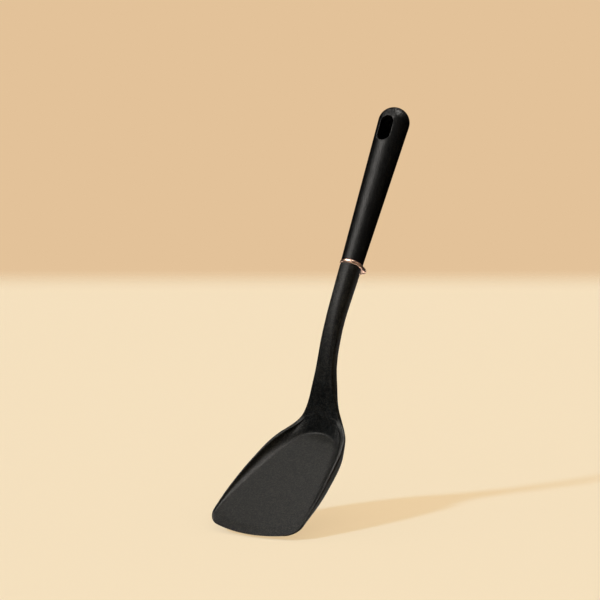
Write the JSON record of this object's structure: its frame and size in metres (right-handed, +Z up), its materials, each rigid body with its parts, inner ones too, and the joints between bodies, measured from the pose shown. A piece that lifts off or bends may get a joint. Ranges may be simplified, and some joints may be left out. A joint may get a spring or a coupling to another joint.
{
  "type": "wok spatula",
  "caption": "Black nylon wok spatula with a shallow walled blade, swept shaft, rose-gold rest ring and a tapered round handle with a hang hole.",
  "frame": {"origin": "middle of the hang hole", "axes": "+Z up the handle towards its rounded end, the open side of the blade towards -Y, X across the blade"},
  "size_m": [0.0752, 0.0591, 0.3533],
  "materials": {
    "black_nylon": "satin",
    "rose_metal": "polished",
    "core_plastic": "matte"
  },
  "bodies": {
    "root": {"turner_head": "black_nylon", "rest_ring": "rose_metal", "handle_core": "core_plastic", "handle_grip": "black_nylon"}
  },
  "joints": []
}
